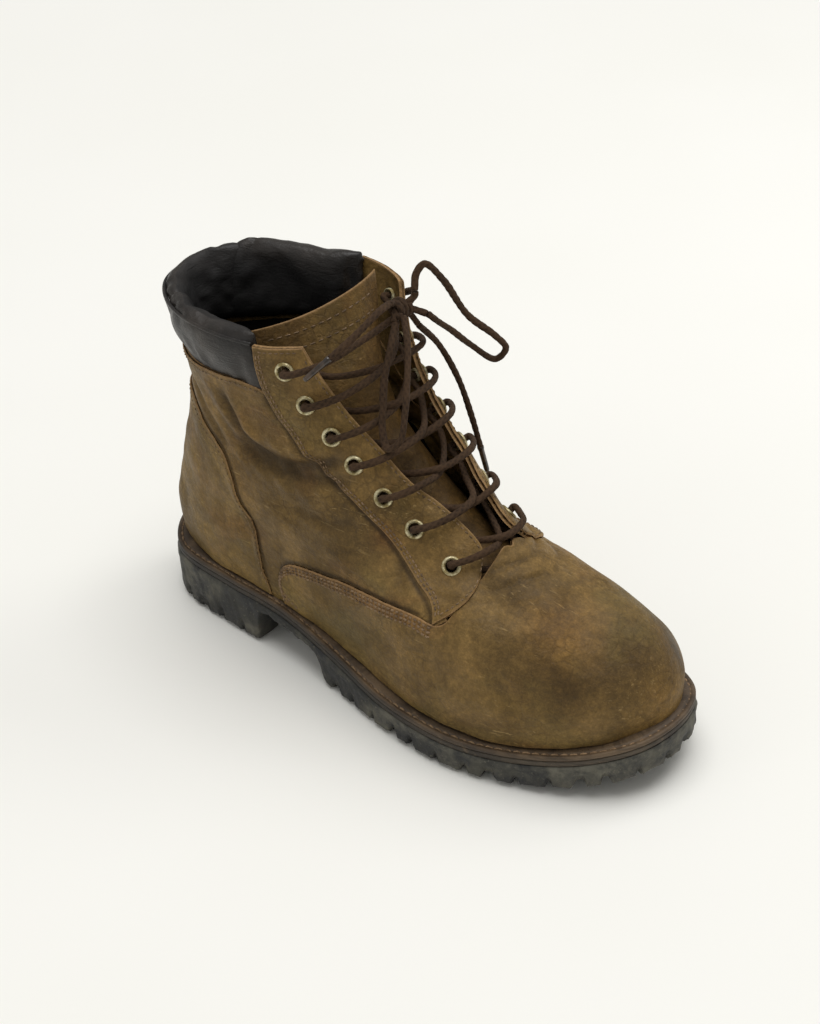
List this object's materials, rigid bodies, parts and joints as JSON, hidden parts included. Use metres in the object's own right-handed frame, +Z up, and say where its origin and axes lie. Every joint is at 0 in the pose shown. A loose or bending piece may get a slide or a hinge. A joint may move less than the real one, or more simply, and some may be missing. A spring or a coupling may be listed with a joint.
{
  "type": "steel toe work boot",
  "caption": "Right ankle-height lace-up work boot with a steel toe cap, welted lugged rubber sole, padded collar, hinged tongue and swinging bow.",
  "frame": {"origin": "on the ground under the middle of the heel, the face of the heel block that the boot stands on", "axes": "+X towards the toe, +Y towards the inner (medial) side of the foot, +Z up"},
  "size_m": [0.31, 0.1258, 0.2073],
  "materials": {
    "leather": "waxed nubuck, mottled tan brown, scuffed",
    "collar_leather": "smooth dark charcoal brown, soft sheen",
    "welt": "dark brown, worn edge",
    "midsole": "dark brown dressed edge",
    "rubber": "matt black, scuffed grey",
    "thread": "waxed thread",
    "steel": "pressed steel",
    "board": "fibre board",
    "cork": "granulated cork",
    "foam": "dark cellular foam",
    "lining": "dark woven lining",
    "eyelet_brass": "antique brass, pale and worn",
    "lace_cord": "round braided cord, dark brown",
    "aglet_plastic": "clear brown lace tip"
  },
  "bodies": {
    "boot": {"outsole": "rubber", "midsole": "midsole", "welt": "welt", "welt_stitching": "thread", "shank": "steel", "cork_filler": "cork", "insole_board": "board", "footbed": "foam", "vamp": "leather", "steel_toe_cap": "steel", "toe_cap_gasket": "rubber", "vamp_lining": "lining", "quarter_lateral": "leather", "quarter_medial": "leather", "quarter_lining_lateral": "lining", "quarter_lining_medial": "lining", "heel_pocket": "leather", "heel_counter": "board", "collar_pad_lateral": "collar_leather", "collar_pad_medial": "collar_leather", "collar_pad_rear": "collar_leather", "eyestay_lateral": "leather", "eyestay_medial": "leather", "eyelet_lateral_1": "eyelet_brass", "eyelet_lateral_2": "eyelet_brass", "eyelet_lateral_3": "eyelet_brass", "eyelet_lateral_4": "eyelet_brass", "eyelet_lateral_5": "eyelet_brass", "eyelet_lateral_6": "eyelet_brass", "eyelet_lateral_7": "eyelet_brass", "eyelet_medial_1": "eyelet_brass", "eyelet_medial_2": "eyelet_brass", "eyelet_medial_3": "eyelet_brass", "eyelet_medial_4": "eyelet_brass", "eyelet_medial_5": "eyelet_brass", "eyelet_medial_6": "eyelet_brass", "eyelet_medial_7": "eyelet_brass", "lace": "lace_cord", "bow_knot": "lace_cord"},
    "tongue": {"tongue": "leather", "tongue_padding": "foam", "tongue_lining": "lining"},
    "loop_medial": {"bow_loop_medial": "lace_cord"},
    "loop_lateral": {"bow_loop_lateral": "lace_cord"},
    "tail_medial": {"lace_tail_medial": "lace_cord", "aglet_medial": "aglet_plastic"},
    "tail_lateral": {"lace_tail_lateral": "lace_cord", "aglet_lateral": "aglet_plastic"}
  },
  "joints": [
    {"name": "tongue_hinge", "type": "hinge", "parent": "boot", "child": "tongue", "pos_m": [0.171, 0, 0.083], "axis": [0, 1, 0], "range_deg": [-8, 0]},
    {"name": "loop_medial_swing", "type": "hinge", "parent": "boot", "child": "loop_medial", "pos_m": [0.094, 0.02, 0.189], "axis": [0.8336, -0.5524, 0], "range_deg": [0, 25]},
    {"name": "loop_lateral_swing", "type": "hinge", "parent": "boot", "child": "loop_lateral", "pos_m": [0.094, 0.02, 0.189], "axis": [-0.8821, -0.4711, 0], "range_deg": [0, 20]},
    {"name": "tail_medial_swing", "type": "hinge", "parent": "boot", "child": "tail_medial", "pos_m": [0.094, 0.02, 0.189], "axis": [1, 0, 0], "range_deg": [0, 15]},
    {"name": "tail_lateral_swing", "type": "hinge", "parent": "boot", "child": "tail_lateral", "pos_m": [0.094, 0.02, 0.189], "axis": [-1, 0, 0], "range_deg": [0, 20]}
  ]
}
